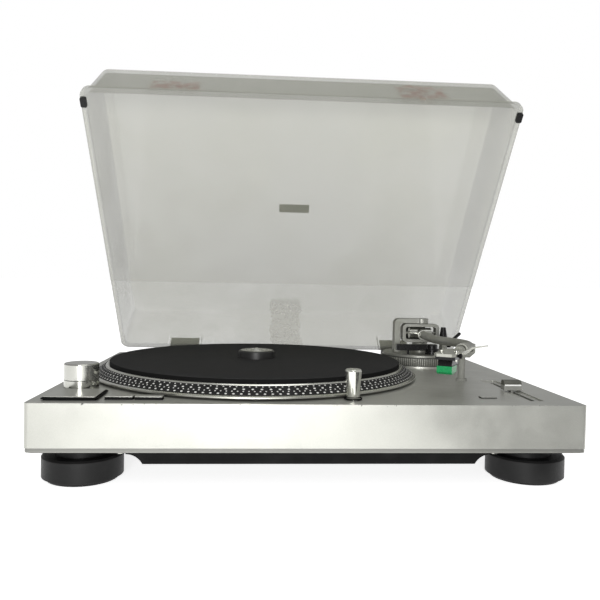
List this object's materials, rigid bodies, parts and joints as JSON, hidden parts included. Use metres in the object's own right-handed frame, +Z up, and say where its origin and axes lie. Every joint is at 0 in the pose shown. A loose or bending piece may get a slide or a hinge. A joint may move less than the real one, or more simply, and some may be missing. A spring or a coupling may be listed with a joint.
{
  "type": "turntable record player",
  "caption": "Direct-drive record player: silver cabinet on round feet, platter with strobe dots, S-shaped tone arm, sliding pitch control and a hinged clear cover standing open.",
  "frame": {"origin": "on the table, under the middle of the whole outline with the cover open", "axes": "+X to the player's right, +Y to the back, +Z up"},
  "size_m": [0.45, 0.4003, 0.3854],
  "materials": {
    "silver_paint": "fine metallic silver paint",
    "black_plastic": "fine grained",
    "dark_steel": "plain",
    "screw_steel": "zinc plated",
    "copper_coils": "enamelled wire on a board",
    "transformer_core": "laminated core with a taped coil",
    "circuit_board": "lacquered board",
    "polished_metal": "turned and polished",
    "red_lens": "clear red",
    "fader_steel": "folded sheet",
    "hinge_plastic": "moulded",
    "plated_metal": "plated",
    "silver_metal": "satin silver",
    "smoke_clear": "clear with a light smoke tint",
    "bumper_rubber": "moulded",
    "badge_metal": "satin, blank",
    "platter_metal": "turned casting",
    "band_black": "black band with silver dots",
    "magnet": "sintered",
    "mat_rubber": "matt felted top",
    "black_gloss": "satin black",
    "silver_buttons": "silver paint",
    "chrome": "bright",
    "satin_steel": "turned",
    "tube_metal": "satin silver paint",
    "weight_metal": "satin nickel plate",
    "shell_metal": "pressed and polished",
    "green_plastic": "bright green",
    "foot_plastic": "moulded"
  },
  "bodies": {
    "chassis": {"top_cabinet": "silver_paint", "bottom_tray": "black_plastic", "inertia_plate": "dark_steel", "cabinet_screws": "screw_steel", "bearing_housing": "dark_steel", "motor_stator": "copper_coils", "transformer": "transformer_core", "main_board": "circuit_board", "control_boards": "circuit_board", "strobe_tower": "polished_metal", "strobe_lamp": "red_lens", "fader_body": "fader_steel", "hinge_sockets": "hinge_plastic", "rear_panel": "black_plastic", "rca_jacks": "plated_metal", "usb_port": "plated_metal", "ac_inlet": "black_plastic", "arm_plinth": "silver_metal", "arm_rest": "silver_metal"},
    "cover": {"dust_cover": "smoke_clear", "hinge_leaves": "hinge_plastic", "cover_bumpers": "bumper_rubber", "cover_badge": "badge_metal"},
    "turntable": {"platter": "platter_metal", "spindle": "plated_metal", "strobe_band": "band_black", "rotor_magnet": "magnet", "slip_mat": "mat_rubber"},
    "adapter": {"adapter_45": "black_gloss", "adapter_cap": "polished_metal"},
    "start_stop": {"start_stop_button": "silver_buttons"},
    "speed_33": {"speed_button_33": "silver_buttons"},
    "speed_45": {"speed_button_45": "silver_buttons"},
    "quartz": {"quartz_button": "silver_buttons"},
    "power": {"power_knob": "polished_metal"},
    "lamp": {"target_light": "chrome"},
    "pitch": {"pitch_knob": "silver_buttons"},
    "ring": {"height_ring": "silver_metal"},
    "platform": {"arm_platform": "silver_metal", "arm_bridge": "silver_metal", "lift_cylinder": "black_plastic"},
    "gimbal": {"gimbal_ring": "silver_metal"},
    "arm": {"arm_pivot_block": "satin_steel", "arm_tube": "tube_metal", "head_shell": "shell_metal", "cartridge": "black_gloss", "stylus": "green_plastic", "head_shell_screws": "screw_steel"},
    "weight": {"counterweight": "weight_metal"},
    "dial": {"pressure_dial": "black_gloss"},
    "nut": {"lock_nut": "satin_steel"},
    "lift": {"lift_bar": "black_plastic"},
    "lever": {"cue_lever": "black_gloss"},
    "antiskate": {"antiskate_dial": "black_plastic"},
    "line": {"line_switch": "plated_metal"},
    "ground": {"ground_screw": "plated_metal"},
    "front_left_foot": {"foot_front_left": "foot_plastic"},
    "front_right_foot": {"foot_front_right": "foot_plastic"},
    "rear_left_foot": {"foot_rear_left": "foot_plastic"},
    "rear_right_foot": {"foot_rear_right": "foot_plastic"}
  },
  "joints": [
    {"name": "cover_hinge", "type": "hinge", "parent": "chassis", "child": "cover", "pos_m": [0, 0.1543, 0.0719], "axis": [1, 0, 0], "range_deg": [0, 51.8]},
    {"name": "platter_spin", "type": "hinge", "parent": "chassis", "child": "turntable", "pos_m": [-0.04575, -0.02396, 0.08], "axis": [0, 0, 1], "continuous": true},
    {"name": "adapter_lift", "type": "slide", "parent": "turntable", "child": "adapter", "axis": [0, 0, 1], "range_m": [0, 0.015]},
    {"name": "start_stop_press", "type": "slide", "parent": "chassis", "child": "start_stop", "axis": [0, 0, -1], "range_m": [0, 0.0012], "stiffness_N_per_m": 500, "springref_m": -0.001},
    {"name": "speed_33_press", "type": "slide", "parent": "chassis", "child": "speed_33", "axis": [0, 0, -1], "range_m": [0, 0.001], "stiffness_N_per_m": 300, "springref_m": -0.001},
    {"name": "speed_45_press", "type": "slide", "parent": "chassis", "child": "speed_45", "axis": [0, 0, -1], "range_m": [0, 0.001], "stiffness_N_per_m": 300, "springref_m": -0.001},
    {"name": "quartz_press", "type": "slide", "parent": "chassis", "child": "quartz", "axis": [0, 0, -1], "range_m": [0, 0.001], "stiffness_N_per_m": 300, "springref_m": -0.001},
    {"name": "power_turn", "type": "hinge", "parent": "chassis", "child": "power", "pos_m": [-0.198, -0.1341, 0.085], "axis": [0, 0, -1], "range_deg": [0, 40]},
    {"name": "target_light_press", "type": "slide", "parent": "chassis", "child": "lamp", "axis": [0, 0, 1], "range_m": [-0.022, 0], "stiffness_N_per_m": 20, "springref_m": 0.02},
    {"name": "pitch_slide", "type": "slide", "parent": "chassis", "child": "pitch", "axis": [0, 1, 0], "range_m": [-0.045, 0.045]},
    {"name": "height_ring_turn", "type": "hinge", "parent": "chassis", "child": "ring", "pos_m": [0.151, 0.0609, 0.075], "axis": [0, 0, 1], "range_deg": [0, 270]},
    {"name": "platform_lift", "type": "slide", "parent": "chassis", "child": "platform", "axis": [0, 0, 1], "range_m": [0, 0.006]},
    {"name": "arm_swing", "type": "hinge", "parent": "platform", "child": "gimbal", "pos_m": [0.151, 0.0609, 0.106], "axis": [0, 0, -1], "range_deg": [0, 44]},
    {"name": "arm_tilt", "type": "hinge", "parent": "gimbal", "child": "arm", "pos_m": [0.151, 0.0609, 0.106], "axis": [1, 0, 0], "range_deg": [-9.5, 0.8]},
    {"name": "pressure_dial_turn", "type": "hinge", "parent": "arm", "child": "dial", "pos_m": [0.151, 0.0609, 0.105], "axis": [0.0436, 0.999, 0], "range_deg": [-360, 360]},
    {"name": "counterweight_slide", "type": "slide", "parent": "arm", "child": "weight", "axis": [0.0436, 0.999, 0], "range_m": [-0.002, 0.002]},
    {"name": "lock_nut_turn", "type": "hinge", "parent": "arm", "child": "nut", "pos_m": [0.14458, -0.11995, 0.105], "axis": [-0.5135, -0.8581, 0], "range_deg": [0, 90]},
    {"name": "cue_lever_turn", "type": "hinge", "parent": "platform", "child": "lever", "pos_m": [0.185, 0.0619, 0.093], "axis": [1, 0, 0], "range_deg": [0, 60]},
    {"name": "lift_bar_slide", "type": "slide", "parent": "platform", "child": "lift", "axis": [0, 0, 1], "range_m": [0, 0.0054]},
    {"name": "antiskate_turn", "type": "hinge", "parent": "platform", "child": "antiskate", "pos_m": [0.176, 0.0474, 0.105], "axis": [0, 0, 1], "range_deg": [0, 270]},
    {"name": "line_switch_slide", "type": "slide", "parent": "chassis", "child": "line", "axis": [1, 0, 0], "range_m": [0, 0.005]},
    {"name": "ground_screw_turn", "type": "hinge", "parent": "chassis", "child": "ground", "pos_m": [-0.024, 0.1549, 0.049], "axis": [0, 1, 0], "range_deg": [0, 720]},
    {"name": "front_left_foot_turn", "type": "hinge", "parent": "chassis", "child": "front_left_foot", "pos_m": [-0.1888, -0.1618, 0.01], "axis": [0, 0, 1], "continuous": true},
    {"name": "front_right_foot_turn", "type": "hinge", "parent": "chassis", "child": "front_right_foot", "pos_m": [0.1888, -0.1618, 0.01], "axis": [0, 0, 1], "continuous": true},
    {"name": "rear_left_foot_turn", "type": "hinge", "parent": "chassis", "child": "rear_left_foot", "pos_m": [-0.1888, 0.1136, 0.01], "axis": [0, 0, 1], "continuous": true},
    {"name": "rear_right_foot_turn", "type": "hinge", "parent": "chassis", "child": "rear_right_foot", "pos_m": [0.1888, 0.1136, 0.01], "axis": [0, 0, 1], "continuous": true}
  ],
  "couplings": [
    {"joint": "platform_lift", "follows": "height_ring_turn", "m_per_rad": 0.0012732},
    {"joint": "pressure_dial_turn", "follows": "counterweight_slide", "rad_per_m": 3141.6},
    {"joint": "cue_lever_turn", "follows": "lift_bar_slide", "rad_per_m": 193.93}
  ]
}
